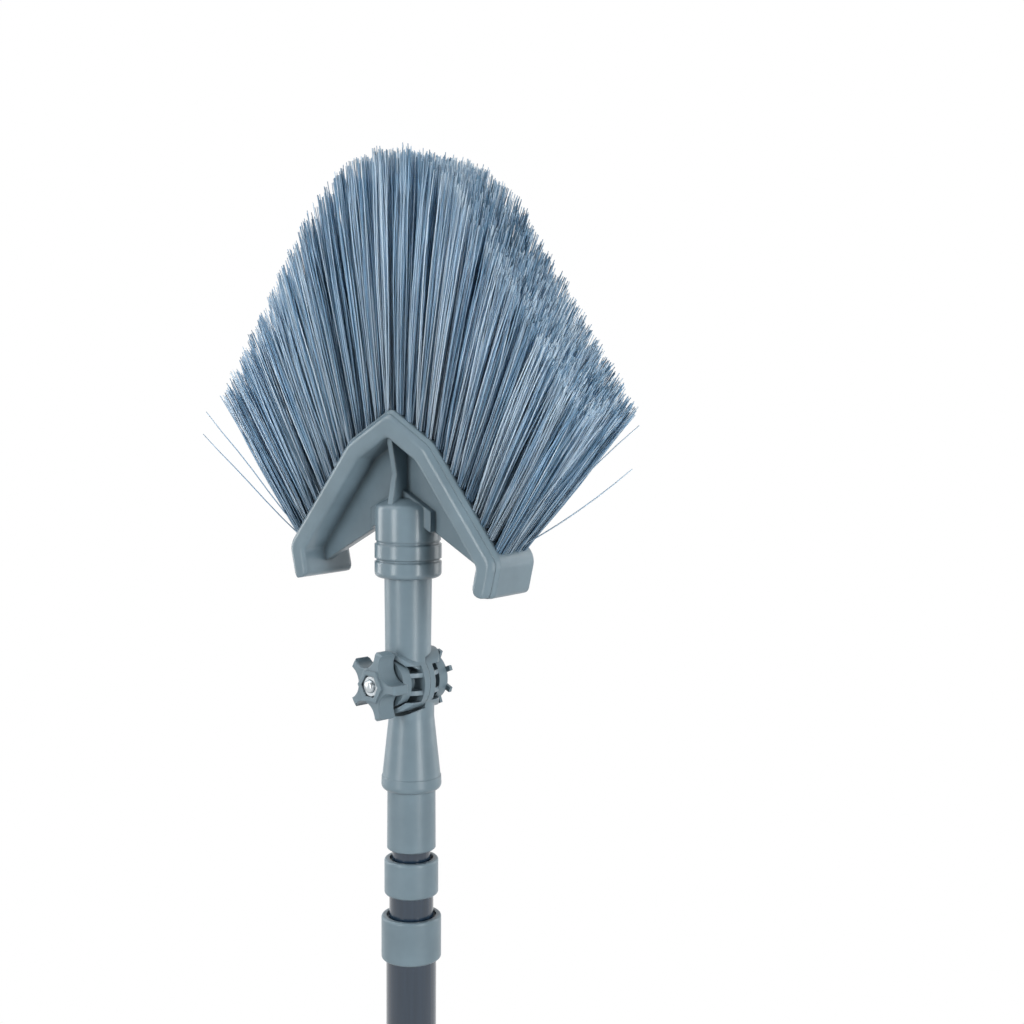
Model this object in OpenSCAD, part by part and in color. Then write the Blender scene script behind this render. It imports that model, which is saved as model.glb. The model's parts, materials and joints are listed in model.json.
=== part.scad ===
// Telescopic cobweb brush: a three-section twist-lock pole, a clamped elbow and a fan-shaped brush head.
// The pole runs along +Z with the brush at the top, and the front of the brush faces -Y.
// The origin is the centre of the hang hole, on the axis of the pole.

/* [Pole] */
// Outside diameter of the outer tube
outer_tube_d = 25; // [23:0.5:30]
// How much thinner each tube is than the one it slides in
tube_step = 3; // [2.6:0.1:3.6]
// Wall of the three steel tubes
tube_wall = 0.8; // [0.6:0.1:1]
// Length of the outer tube
outer_tube_len = 1066; // [1040:1:1400]
// Free length under the middle tube's lock when the pole is pushed together
low_gap = 66; // [20:2:300]
// Free length between the two locks when the pole is pushed together
lock_spacing = 30; // [10:2:300]
// Stretch of middle tube that shows between the two collars when the pole is pushed together
middle_show = 11; // [6:1:30]
// Stretch of inner tube that shows above the upper collar when the pole is pushed together
inner_show = 5; // [3:1:30]

/* [Collars] */
// Height of the lower collar
lower_collar_h = 22; // [18:1:30]
// Height of the upper collar
upper_collar_h = 18; // [16:1:30]
// Wall of a collar round its own tube
collar_wall = 2.4; // [1.8:0.1:3]
// Depth to which a tube is pushed into its collar
collar_grip = 12; // [8:1:13]
// Rounding of a collar's outer edges
collar_round = 1.2; // [0.4:0.1:1.6]
// Depth of the open ring round the tube at the top of a collar
collar_recess = 1.6; // [0.8:0.1:2]

/* [Grip] */
// Length of the grip
grip_len = 100; // [80:1:140]
// Wall of the grip round the outer tube at its top
grip_top_wall = 1.7; // [1.5:0.1:4.5]
// Wall of the grip round the outer tube near its closed end
grip_end_wall = 1.1; // [1:0.1:3.5]
// Rounding of the closed end
grip_round = 7; // [3:0.5:9]
// Distance from the closed end to the centre of the hang hole
hole_to_end = 14; // [13:0.5:20]
// Width of the hang hole
hole_w = 12; // [8:0.5:14]
// Height of the hang hole
hole_h = 18; // [12:0.5:18]
// Corner radius of the hang hole
hole_round = 3; // [1:0.5:3.5]
// Solid length between the hang hole and the end of the outer tube
grip_floor = 6; // [4:0.5:12]

/* [Twist locks] */
// How far the lock's pin sits off the axis of the tube
cam_offset = 1.2; // [0.8:0.1:1.6]
// Diameter of the off-centre pin
cam_pin_d = 10; // [8:0.5:10]
// Height of the lock ring
cam_ring_h = 16; // [10:1:20]
// Length of lock plug pressed into the tube
plug_spigot_h = 18; // [10:1:24]
// Thickness of the plug's shoulder and of its end disc
plug_disc_h = 3; // [2:0.5:4]
// Width of the slit in the lock ring
ring_slit = 2; // [1.5:0.1:3]

/* [Pole tip] */
// Length of pole tip that shows between the inner tube and the elbow
tip_show = 30; // [24:1:50]
// Diameter of the pole tip at its lower edge
tip_low_d = 24.2; // [23:0.1:24.4]
// Diameter of the pole tip where it enters the elbow
tip_top_d = 23.8; // [22.6:0.1:24]
// Depth to which the inner tube is pushed into the pole tip
tip_grip = 20; // [12:1:24]

/* [Elbow] */
// Diameter of the screw ends of the pole tip and of the elbow
screw_d = 21.8; // [20:0.1:21.8]
// Length of a screw end
screw_len = 23; // [16:1:24]
// Height of the cone from its lower edge to the centre of the bolt
cone_h = 55; // [54:1:70]
// Largest diameter of the cone, at its lower band
cone_low_d = 29.8; // [29:0.1:33]
// Diameter of the cone where it meets its cheek
cone_top_d = 22.4; // [21:0.1:24]
// Height of the rounded band round the foot of the cone
cone_band_h = 7; // [5:0.5:9]
// Depth to which the pole tip's sleeve enters the cone and the neck enters the socket
seat_depth = 4; // [3:0.5:5]
// Sideways step between the axis of the cone and the axis of the neck
neck_step = 2.3; // [1:0.1:3]
// Diameter of the neck at the elbow
neck_low_d = 22.6; // [21:0.1:24]
// Diameter of the neck at the socket
neck_top_d = 23.3; // [22.6:0.1:23.6]
// Height from the centre of the bolt to the lower edge of the brush's socket
neck_h = 51; // [44:1:60]
// Radius of the two cheeks round the bolt
cheek_r = 15; // [14:0.5:16]
// Thickness of a cheek's face plate
cheek_plate = 3.5; // [2.5:0.5:4]
// Reach of the neck's cheek from the elbow's mid plane to the knob's washer
near_reach = 14.6; // [14:0.1:16]
// Reach of the cone's cheek from the elbow's mid plane
far_reach = 14.6; // [14:0.1:16]
// Height of the middle window in a cheek, between its two flat ribs
window_h = 6.4; // [5:0.2:7.5]
// Thickness of the flat ribs and of the curved end walls of a cheek
rib_t = 2.3; // [1.8:0.1:3]
// Angle of the elbow's bolt from the front of the brush
elbow_turn = 8; // [0:1:30]

/* [Bolt and knob] */
// Diameter of the clamp bolt
bolt_d = 6; // [5:0.5:7]
// Width across flats of the bolt head and of the nut
hex_af = 10; // [9:0.5:11]
// Height of the bolt head
bolt_head_h = 4; // [3:0.5:4.5]
// Height of the nut
nut_h = 5; // [4:0.5:5.5]
// Radius of the star knob to the ends of its arms
knob_r = 17; // [15:0.5:20]
// Radius of the star knob between its arms
knob_waist_r = 9; // [8.5:0.1:10]
// Radius of the hollows between the arms
knob_hollow_r = 8.3; // [7:0.1:9]
// Number of arms on the knob
knob_arms = 5; // [5:1:6]
// Thickness of the knob's arms
knob_t = 9.4; // [8:0.2:12]
// Thickness of the washer
washer_t = 1; // [0.8:0.1:1.6]
// Diameter of the washer
washer_d = 13; // [11:0.5:14]

/* [Brush block] */
// Width of the block over its two feet
block_w = 133; // [120:1:160]
// Height of the block from the ridge to the ends of its feet
block_h = 87; // [82:1:100]
// Half width of the upper roof, from the ridge to the bend
roof_x = 26; // [20:1:34]
// Fall of the upper roof from the ridge to the bend
roof_drop = 16; // [10:1:20]
// Fall from the ridge to the outer corner of a foot
corner_drop = 69; // [60:1:72]
// How far a foot leans back in below its outer corner
foot_lean = 4; // [0:1:8]
// Depth of the block from front to back
block_d = 35; // [32:1:44]
// Thickness of the block's wall, which holds the tufts
block_wall = 11.5; // [10:0.5:12]
// Thickness of the web between the legs
web_t = 5; // [3:0.5:8]
// Height below the ridge at which the web's lower edge meets the centre line
web_drop = 48.5; // [46:0.5:52]
// Fall of the web's lower edge for each millimetre out from the centre
web_slope = 0.56; // [0.4:0.02:0.6]
// Width of the thick pad behind the socket
pad_w = 38; // [34:1:44]
// Thickness of the pad
pad_t = 12; // [8:1:18]
// Height of the pad
pad_h = 10; // [6:1:12]
// Thickness of the upright rib above the socket
rib_w = 3; // [2:0.2:4]

/* [Socket] */
// Diameter of the socket's barrel
barrel_d = 32; // [30:0.5:36]
// Diameter of the two rings round the mouth of the socket
ring_d = 32.8; // [31:0.2:38]
// Height of one ring
ring_h = 8.6; // [6:0.2:9]
// Width and depth of the grooves under and over a ring
ring_groove = 0.9; // [0.5:0.1:1.2]
// Height of the plain barrel above the rings
barrel_h = 18.8; // [14:0.2:22]
// Rounding of the barrel's upper and lower edges
barrel_round = 2.4; // [1:0.2:3]

/* [Bristles] */
// Height of the longest bristles above the ridge of the block
bristle_top = 125; // [110:1:150]
// Half width of the flat top of the trimmed fan
fan_flat = 35; // [20:1:50]
// Fall of the trimmed fan's sides for each millimetre outward
fan_slope = 1.45; // [1.1:0.01:1.6]
// Lean of the outermost tufts from upright
fan_lean = 33; // [20:1:36]
// Columns of tufts on each side of the ridge
tuft_columns = 13; // [11:1:13]
// Rows of tufts from front to back
tuft_rows = 4; // [3:1:4]
// Distance between the columns of tufts
tuft_pitch = 7.2; // [6.5:0.1:7.2]
// Distance between the rows of tufts
row_pitch = 6.2; // [5.8:0.1:6.4]
// Distance from the ridge to the first column of tufts
first_tuft = 4; // [4:0.5:6]
// Distance between the strands of one tuft at the block
strand_gap = 3; // [2.6:0.1:3.2]
// Growth of the fan's depth from the block to the tips
fan_spread = 2.1; // [1.6:0.1:2.4]
// Radius of a strand at the block
strand_r = 1.1; // [0.8:0.1:1.1]
// Radius of a strand at its tip
strand_tip_r = 0.8; // [0.5:0.1:1]

/* [Hidden] */
$fn = 96;

// Clearances
run_gap = 0.08;
seat_gap = 0.05;
joint_gap = 0.3;
turn_gap = 1.8;
cam_gap = 0.35;
over = 1;

// Colours
plastic = "#7a8e98";
steel = "#46515e";
zinc = "#c9ced2";
dark_plastic = "#3c444b";
bristle_blue = "#7c93a6";

// Heights of a twist lock below the end of its tube: shoulder, ring with its play, end disc
ring_play = 0.2;
shoulder_low = -plug_disc_h;
pin_low = shoulder_low - cam_ring_h - 2 * ring_play;

// Tubes, each with its outside diameter, its bore and the height of its lower end
middle_d = outer_tube_d - tube_step;
inner_d = middle_d - tube_step;
outer_bore = outer_tube_d - 2 * tube_wall;
middle_bore = middle_d - 2 * tube_wall;
inner_bore = inner_d - 2 * tube_wall;
outer_z = hole_h / 2 + grip_floor;
grip_z = -hole_to_end;
lower_collar_z = outer_z + outer_tube_len - collar_grip;
upper_collar_z = lower_collar_z + lower_collar_h + middle_show;
lock_len = plug_disc_h - pin_low;
middle_z = outer_z + low_gap + lock_len;
middle_tube_len = upper_collar_z + collar_grip - middle_z;
tip_z = upper_collar_z + upper_collar_h + inner_show;
inner_z = middle_z + plug_spigot_h + lock_spacing + lock_len;
inner_tube_len = tip_z + tip_grip - inner_z;

// Roundings of the block's ridge, of its bends and of its corners, and the dome over the socket
ridge_round = 5;
ridge_round_in = 4;
bend_round = 14;
bend_round_in = 6;
corner_round = 8;
corner_round_in = 3;
foot_round = 3.6;
foot_flat = 4;
bend_steps = 4;
dome_h = 4;

// Grip details
grip_top_d = outer_tube_d + 2 * grip_top_wall;
grip_end_d = outer_tube_d + 2 * grip_end_wall;
grip_rim_h = 3;
grip_rim = 0.3;
grip_ring_above = 13;
grip_ring = 0.25;

// Elbow heights, and the place of the neck's axis
cone_z = tip_z + tip_show;
pivot_z = cone_z + cone_h;
socket_z = pivot_z + neck_h;
neck_x = -neck_step * sin(elbow_turn);
neck_y = -neck_step * cos(elbow_turn);
saddle_r = cheek_r + turn_gap;
core_r = cheek_r - rib_t;
hub_r = hex_af / 2 / cos(30) + 1.6;
drum_r = core_r - 1;
pocket_w = 5.6;
cone_edge = 3;
collar_run = 1.5;
cone_groove = 0.35;
hex_pocket = hex_af + 2 * seat_gap;
knob_hub_r = 8.5;
knob_edge = 1.1;
knob_boss_h = 1;
knob_boss_af = 15;
nut_sink = 0.6;
bolt_sink = 0.2;
knob_y = -near_reach - washer_t - 2 * seat_gap;

// Outline of the block in its front view, as corner points outward from the ridge
ridge_z = socket_z + 2 * ring_h + barrel_h + web_drop - dome_h + 1.7;
half_w = block_w / 2;
ridge = [0, 0];
bend = [roof_x, -roof_drop];
corner_out = [half_w, -corner_drop];
foot_out = [half_w - foot_lean, -block_h];
ridge_in = mitre(mirror_x(bend), ridge, bend, block_wall);
bend_in = mitre(ridge, bend, corner_out, block_wall);
corner_in = mitre(bend, corner_out, foot_out, block_wall);
foot_in = foot_out + square_off(corner_out, foot_out, block_wall);
foot_mid = (foot_out + foot_in) / 2;
foot_slit = unit(foot_in - foot_out) * foot_flat / 2;
ridge_arc = corner_arc(mirror_x(bend), ridge, bend, ridge_round);
ridge_arc_in = corner_arc(mirror_x(bend_in), ridge_in, bend_in, ridge_round_in);
outer_right = rounded_run(
    [ridge, bend, corner_out, foot_out, foot_mid - foot_slit],
    [0, bend_round, corner_round, foot_round, 0]
);
inner_right = rounded_run(
    [ridge_in, bend_in, corner_in, foot_in, foot_mid + foot_slit],
    [0, bend_round_in, corner_round_in, foot_round, 0]
);
half_arc = bend_steps / 2;

// Upright rib above the socket: half depths at its top, waist and foot, and falls from its top
rib_top = block_d / 2 - 3.8;
rib_waist = block_d / 2 - 7.1;
rib_foot = block_d / 2 - 3.5;
rib_lip = 3;
rib_waist_fall = 18;
rib_sink = 0.5;
slice_outer = concat([for (i = [half_arc:bend_steps]) ridge_arc[i]], outer_right);
slice_inner = concat([for (i = [half_arc:bend_steps]) ridge_arc_in[i]], inner_right);
outer_line = concat(mirrored(outer_right), ridge_arc, outer_right);
inner_line = concat(mirrored(inner_right), ridge_arc_in, inner_right);

// Section of the block's wall: depth below the tufted face, then front-to-back place
// The bristles' own slice of the backing ends at the depth bed_t, where the block begins
field_half = 13;
bed_t = 1.6;
bed_half = 15;
edge_r = 2.2;
block_half = block_d / 2;
wall_section = both_halves(concat(
    [[bed_t, bed_half], [2.5, block_half - 1.3], [3.4, block_half - 0.4], [4.6, block_half]],
    arc_points([block_wall - edge_r, block_half - edge_r], edge_r, 90, 0, 3)
));
bed_section = both_halves([[0, field_half], [bed_t, bed_half]]);

// Tufts: where each column sits along the wall, and how it leans
roof_len = norm(bend);
leg_len = norm(corner_out - bend);
last_tuft = first_tuft + (tuft_columns - 1) * tuft_pitch;
strand_sink = 0.8;
tuft_trim = rands(-1.6, 1.6, tuft_columns * tuft_rows * 8, 7);
anchor_w = 5;
anchor_t = 0.5;
anchor_h = 2;
anchor_depth = 7;

// A plan point turned about the origin
function spin(v, a) = [v[0] * cos(a) - v[1] * sin(a), v[0] * sin(a) + v[1] * cos(a)];

// A vector of length 1
function unit(v) = v / norm(v);

// A point mirrored to the other side of the brush
function mirror_x(p) = [-p[0], p[1]];

// The step of length d to the inner side of the last stretch of an outline
function square_off(p, q, d) = d * unit([(q - p)[1], -(q - p)[0]]);

// Points along an arc
function arc_points(c, r, from, to, n) =
    [for (i = [0:n]) let (a = from + (to - from) * i / n) c + r * [cos(a), sin(a)]];

// The inner corner that lies at distance d from both stretches that meet at p
function mitre(before, p, after, d) =
    let (u = unit(before - p), v = unit(after - p), half = acos(u * v) / 2)
    p + unit(u + v) * d / sin(half);

// The arc of radius r that rounds the corner at p, with an even number of steps
function corner_arc(before, p, after, r) =
    let (
        half = acos(unit(before - p) * unit(after - p)) / 2,
        c = mitre(before, p, after, r),
        start = p + unit(before - p) * r / tan(half) - c,
        turn = sign(cross(start, p - c)) * (180 - 2 * half)
    ) [for (k = [0:bend_steps]) c + spin(start, turn * k / bend_steps)];

// An open outline with its inner corners rounded
function rounded_run(p, r) = concat(
    [for (i = [1:len(p) - 2]) each corner_arc(p[i - 1], p[i], p[i + 1], r[i])],
    [p[len(p) - 1]]
);

// The mirror image of an outline, run backwards
function mirrored(line) = [for (i = [len(line) - 1:-1:0]) mirror_x(line[i])];

// A half section and its mirror image, as one closed outline
function both_halves(half) = concat(half, [for (i = [len(half) - 1:-1:0]) [half[i][0], -half[i][1]]]);

// The point on the tufted face at distance s along the wall from the ridge
function face_point(s) = s < roof_len
    ? bend * s / roof_len
    : bend + (corner_out - bend) * (s - roof_len) / leg_len;

// The lean of the bristles that stand at distance s
function lean(s) = fan_lean * pow(max(s, 0) / last_tuft, 0.85);

// The length of the bristles at distance s, cut by the flat top or by the sloping side of the fan
function bristle_len(s) =
    let (p = face_point(s), a = lean(s),
        flat = (bristle_top - p[1]) / cos(a),
        side = (bristle_top - fan_slope * (p[0] - fan_flat) - p[1]) / (cos(a) + fan_slope * sin(a)))
    min(flat, side);

// The point at height t along a bristle that stands at distance s and depth y
function bristle_point(s, y, t) =
    let (p = face_point(s), a = lean(s), full = bristle_len(s))
    [p[0] + t * sin(a), y * (1 + (fan_spread - 1) * t / full), p[1] + t * cos(a)];

// The three corners of a strand's cross-section
function strand_ring(p, r) = [for (k = [0:2]) p + r * [cos(120 * k), sin(120 * k), 0]];

// The strands of one side, as a list of their foot and tip points
function strand_ends() = [
    for (c = [0:tuft_columns - 1], row = [0:tuft_rows - 1], i = [0:3])
        let (
            s = first_tuft + c * tuft_pitch + (i % 2 - 0.5) * strand_gap,
            y = (row - (tuft_rows - 1) / 2) * row_pitch + (floor(i / 2) - 0.5) * strand_gap,
            trim = tuft_trim[(c * tuft_rows + row) * 4 + i]
        )
        [bristle_point(s, y, -strand_sink), bristle_point(s, y, bristle_len(s) + trim)]
];

// A disc, or with a bore a ring, between two heights
module ring(d, z0, z1, bore = 0) {
    difference() {
        translate([0, 0, z0]) cylinder(d = d, h = z1 - z0);
        if (bore > 0) translate([0, 0, z0 - over]) cylinder(d = bore, h = z1 - z0 + 2 * over);
    }
}

// A round bar along Y between two places
module bar_y(r, y0, y1) {
    translate([0, y1, 0]) rotate([90, 0, 0]) cylinder(r = r, h = y1 - y0);
}

// A hexagonal bar along Y between two places
module hex_y(af, y0, y1) {
    translate([0, y1, 0]) rotate([90, 0, 0]) cylinder(d = af / cos(30), h = y1 - y0, $fn = 6);
}

// A block that covers everything on one side of the elbow's mid plane
module half_space(side, gap, size) {
    translate([-size, side > 0 ? gap : -gap - size, -size]) cube([2 * size, size, 2 * size]);
}

// Places the elbow's pieces: its own origin is on the bolt's axis, in its mid plane, with the knob at -Y
module elbow_place() {
    rotate([0, 0, -elbow_turn]) translate([0, -neck_step / 2, pivot_z]) children();
}

// Places the brush head's pieces: its own origin is on the ridge, over the neck's axis
module head_place() {
    translate([neck_x, neck_y, ridge_z]) children();
}

// A wall swept along stations: its section is measured inward from the outer line and front to back
module swept_wall(section, outer, inner) {
    n = len(section);
    m = len(outer);
    points = [
        for (i = [0:m - 1], p = section)
            let (q = outer[i] + (inner[i] - outer[i]) * p[0] / block_wall) [q[0], p[1], q[1]]
    ];
    sides = [
        for (i = [0:m - 2], j = [0:n - 1])
            let (a = i * n + j, b = i * n + (j + 1) % n)
            each [[a, b, a + n], [b, b + n, a + n]]
    ];
    polyhedron(points, concat(
        sides,
        [[for (j = [n - 1:-1:0]) j]],
        [[for (j = [0:n - 1]) (m - 1) * n + j]]
    ));
}

// Moulded grip with its rim, its faint ring, its closed round end and the hang hole
module grip() {
    top = grip_z + grip_len;
    rim_r = grip_top_d / 2 + grip_rim;
    ring_z = hole_h / 2 + grip_ring_above;
    ring_r = (grip_top_d + grip_end_d) / 4;
    color(plastic) difference() {
        rotate_extrude() polygon(concat(
            [[0, grip_z]],
            arc_points([grip_end_d / 2 - grip_round, grip_z + grip_round], grip_round, -90, 0, 10),
            [
                [grip_end_d / 2, hole_h / 2 + 2],
                [ring_r, ring_z - 0.8], [ring_r - grip_ring, ring_z],
                [ring_r + 0.15, ring_z + 0.8],
                [grip_top_d / 2, top - grip_rim_h - 0.5],
                [rim_r, top - grip_rim_h], [rim_r, top - 0.8], [rim_r - 0.8, top],
                [0, top]
            ]
        ));
        translate([0, 0, outer_z]) cylinder(d = outer_tube_d, h = top);
        rotate([90, 0, 0]) linear_extrude(grip_top_d * 2, center = true) hang_hole_shape();
    }
}

// The hang hole's outline, with round corners
module hang_hole_shape() {
    square([hole_w - 2 * hole_round, hole_h], center = true);
    square([hole_w, hole_h - 2 * hole_round], center = true);
    for (x = [-1, 1], y = [-1, 1])
        translate([x * (hole_w / 2 - hole_round), y * (hole_h / 2 - hole_round)]) circle(r = hole_round);
}

module outer_tube() {
    color(steel) ring(outer_tube_d, outer_z, outer_z + outer_tube_len, outer_bore);
}

module middle_tube() {
    color(steel) ring(middle_d, middle_z, middle_z + middle_tube_len, middle_bore);
}

module inner_tube() {
    color(steel) ring(inner_d, inner_z, inner_z + inner_tube_len, inner_bore);
}

// A collar on the end of one tube, whose lip guides the next tube
module collar(z, h, own_d, guided_d) {
    r = own_d / 2 + collar_wall;
    lip_r = guided_d / 2 + run_gap;
    recess_r = own_d / 2 - 0.2;
    color(plastic) translate([0, 0, z]) rotate_extrude() polygon(concat(
        [[own_d / 2, 0]],
        arc_points([r - collar_round, collar_round], collar_round, -90, 0, 5),
        arc_points([r - collar_round, h - collar_round], collar_round, 0, 90, 5),
        [
            [recess_r, h], [recess_r, h - collar_recess], [lip_r, h - collar_recess],
            [lip_r, collar_grip], [own_d / 2, collar_grip]
        ]
    ));
}

module lower_collar() {
    collar(lower_collar_z, lower_collar_h, outer_tube_d, middle_d);
}

module upper_collar() {
    collar(upper_collar_z, upper_collar_h, middle_d, inner_d);
}

// The plug pressed into a tube's lower end, with its off-centre pin and end disc
module lock_plug(end_z, tube_d, tube_bore, outside_bore) {
    color(dark_plastic) translate([0, 0, end_z]) difference() {
        union() {
            ring(tube_bore, 0, plug_spigot_h);
            ring(tube_d, shoulder_low, 0);
            translate([cam_offset, 0, 0]) ring(cam_pin_d, pin_low, shoulder_low);
            ring(outside_bore - 1, pin_low - plug_disc_h, pin_low);
        }
        translate([0, 0, plug_disc_h]) ring(tube_bore - 5, 0, plug_spigot_h);
    }
}

// The slit ring on the off-centre pin, which the twist of the tube jams in the outside tube
module lock_ring(end_z, outside_bore) {
    groove_step = cam_ring_h / 4;
    r = outside_bore / 2 - run_gap;
    color(bristle_blue) translate([0, 0, end_z + pin_low + ring_play]) difference() {
        ring(2 * r, 0, cam_ring_h);
        translate([cam_offset, 0, -over]) cylinder(d = cam_pin_d + 2 * cam_gap, h = cam_ring_h + 2 * over);
        translate([0, -ring_slit / 2, -over]) cube([outside_bore, ring_slit, cam_ring_h + 2 * over]);
        for (i = [1:3]) ring(2 * r + over, i * groove_step - 0.4, i * groove_step + 0.4, 2 * r - 0.8);
    }
}

module middle_lock_plug() {
    lock_plug(middle_z, middle_d, middle_bore, outer_bore);
}

module middle_lock_ring() {
    lock_ring(middle_z, outer_bore);
}

module inner_lock_plug() {
    lock_plug(inner_z, inner_d, inner_bore, middle_bore);
}

module inner_lock_ring() {
    lock_ring(inner_z, middle_bore);
}

// The moulded tip of the pole: a sleeve over the inner tube and the screw end that carries the elbow
module pole_tip() {
    top = tip_show + seat_depth;
    color(plastic) translate([0, 0, tip_z]) rotate_extrude() polygon([
        [inner_d / 2, 0], [tip_low_d / 2 - 0.5, 0], [tip_low_d / 2, 0.5],
        [tip_top_d / 2, top], [screw_d / 2, top],
        [screw_d / 2, top + screw_len - 1], [screw_d / 2 - 1, top + screw_len],
        [0, top + screw_len], [0, tip_grip], [inner_d / 2, tip_grip]
    ]);
}

// One cheek of the elbow with its face plate, hub, drum and cored windows, reaching to the given side
module cheek(side, reach, drum_reach) {
    flat_rib = window_h / 2;
    mirror([0, side > 0 ? 1 : 0, 0]) {
        bar_y(cheek_r, -cheek_plate, -seat_gap);
        bar_y(hub_r, -reach, -seat_gap);
        bar_y(drum_r, -drum_reach, -cheek_plate - pocket_w);
        intersection() {
            union() {
                for (z = [-flat_rib - rib_t, flat_rib])
                    translate([-cheek_r, -reach, z]) cube([2 * cheek_r, reach - seat_gap, rib_t]);
                difference() {
                    bar_y(cheek_r, -reach, -seat_gap);
                    bar_y(core_r, -reach - over, over);
                    translate([-cheek_r * 2, -2 * reach, -core_r * 0.7])
                        cube([4 * cheek_r, 3 * reach, 1.4 * core_r]);
                }
            }
            bar_y(cheek_r, -drum_reach, 0);
            translate([0, -neck_step / 2, -2 * cheek_r]) cylinder(r = drum_reach - neck_step / 2, h = 4 * cheek_r);
        }
    }
}

// The elbow's lower half: a cone that screws onto the pole tip, and the cheek on the side away from the knob
module elbow_lower() {
    low_r = cone_low_d / 2;
    thread_bore = screw_d + 2 * seat_gap;
    color(plastic) elbow_place() difference() {
        union() {
            difference() {
                translate([0, neck_step / 2, -cone_h]) rotate_extrude() polygon(concat(
                    [[0, 0]],
                    arc_points([low_r - cone_edge, cone_edge], cone_edge, -90, 0, 6),
                    [
                        [low_r - 0.2, cone_band_h], [low_r - 0.2 - cone_groove, cone_band_h + 0.1],
                        [low_r - 0.2 - cone_groove, cone_band_h + 0.7], [low_r - 0.6, cone_band_h + 0.9],
                        [cone_top_d / 2, cone_h - saddle_r - collar_run], [cone_top_d / 2, cone_h], [0, cone_h]
                    ]
                ));
                intersection() {
                    bar_y(saddle_r, -2 * cheek_r, 2 * cheek_r);
                    half_space(-1, -seat_gap, 3 * cheek_r);
                }
                intersection() {
                    bar_y(core_r, -2 * cheek_r, 2 * cheek_r);
                    half_space(1, 0, 3 * cheek_r);
                }
            }
            cheek(1, far_reach, far_reach);
        }
        translate([0, neck_step / 2, -cone_h - over])
            cylinder(d = thread_bore, h = seat_depth + screw_len + joint_gap + over);
        translate([0, neck_step / 2, -cone_h - over]) cylinder(d = tip_low_d + 0.4, h = seat_depth + over);
        bar_y(bolt_d / 2 + seat_gap, -over, far_reach + over);
        hex_y(hex_pocket, far_reach - bolt_head_h, far_reach + over);
    }
}

// The elbow's upper half: the cheek on the knob's side, the neck and the screw end that carries the brush
module elbow_upper() {
    color(plastic) elbow_place() difference() {
        union() {
            difference() {
                translate([0, -neck_step / 2, 0]) rotate_extrude() polygon([
                    [0, 0], [neck_low_d / 2, 0], [neck_low_d / 2, saddle_r + collar_run],
                    [neck_top_d / 2, neck_h], [neck_top_d / 2, neck_h + seat_depth - joint_gap],
                    [screw_d / 2, neck_h + seat_depth - joint_gap],
                    [screw_d / 2, neck_h + seat_depth + screw_len - 2], [screw_d / 2 - 1, neck_h + seat_depth + screw_len - 1],
                    [0, neck_h + seat_depth + screw_len - 1]
                ]);
                intersection() {
                    bar_y(saddle_r, -2 * cheek_r, 2 * cheek_r);
                    half_space(1, -seat_gap, 3 * cheek_r);
                }
                intersection() {
                    bar_y(core_r, -2 * cheek_r, 2 * cheek_r);
                    half_space(-1, 0, 3 * cheek_r);
                }
            }
            cheek(-1, near_reach, near_reach);
        }
        bar_y(bolt_d / 2 + run_gap, -2 * near_reach, over);
    }
}

// The hexagon bolt through both cheeks
module clamp_bolt() {
    nut_face = knob_y - knob_t - knob_boss_h + nut_sink;
    color(zinc) elbow_place() union() {
        hex_y(hex_af, far_reach - bolt_head_h, far_reach - bolt_sink);
        bar_y(bolt_d / 2, nut_face - bolt_sink, far_reach - bolt_head_h + over);
    }
}

module knob_washer() {
    color(zinc) elbow_place() difference() {
        bar_y(washer_d / 2, -near_reach - washer_t - seat_gap, -near_reach - seat_gap);
        bar_y(bolt_d / 2 + run_gap, -2 * near_reach, 0);
    }
}

// The star's outline: a disc with a round hollow between each pair of arms
module star_shape() {
    difference() {
        circle(r = knob_r);
        for (i = [0:knob_arms - 1])
            rotate(360 / knob_arms * (i + 0.5)) translate([knob_waist_r + knob_hollow_r, 0]) circle(r = knob_hollow_r);
    }
}

// The star knob with softened arms, a raised hexagon and the pocket that holds its nut
module star_knob() {
    face = knob_y - knob_t;
    pocket = nut_h + nut_sink;
    color(plastic) elbow_place() difference() {
        union() {
            intersection() {
                translate([0, knob_y, 0]) rotate([90, 0, 0]) linear_extrude(knob_t) star_shape();
                translate([0, knob_y, 0]) rotate([90, 0, 0]) rotate_extrude() polygon([
                    [0, 0], [knob_r - knob_edge, 0], [knob_r, knob_edge],
                    [knob_r, knob_t - knob_edge], [knob_r - knob_edge, knob_t], [0, knob_t]
                ]);
            }
            hex_y(knob_boss_af, face - knob_boss_h, face + over);
        }
        hex_y(hex_pocket, face - knob_boss_h - over, face - knob_boss_h + pocket);
        bar_y(bolt_d / 2 + joint_gap, face - 2 * over, knob_y + over);
    }
}

module knob_nut() {
    outer = knob_y - knob_t - knob_boss_h + nut_sink;
    color(zinc) elbow_place() difference() {
        hex_y(hex_af, outer, outer + nut_h);
        bar_y(bolt_d / 2 + run_gap, outer - over, outer + nut_h + over);
    }
}

// The lower edge of the web at distance x from the centre
function web_z(x) = -web_drop - web_slope * x;

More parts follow.
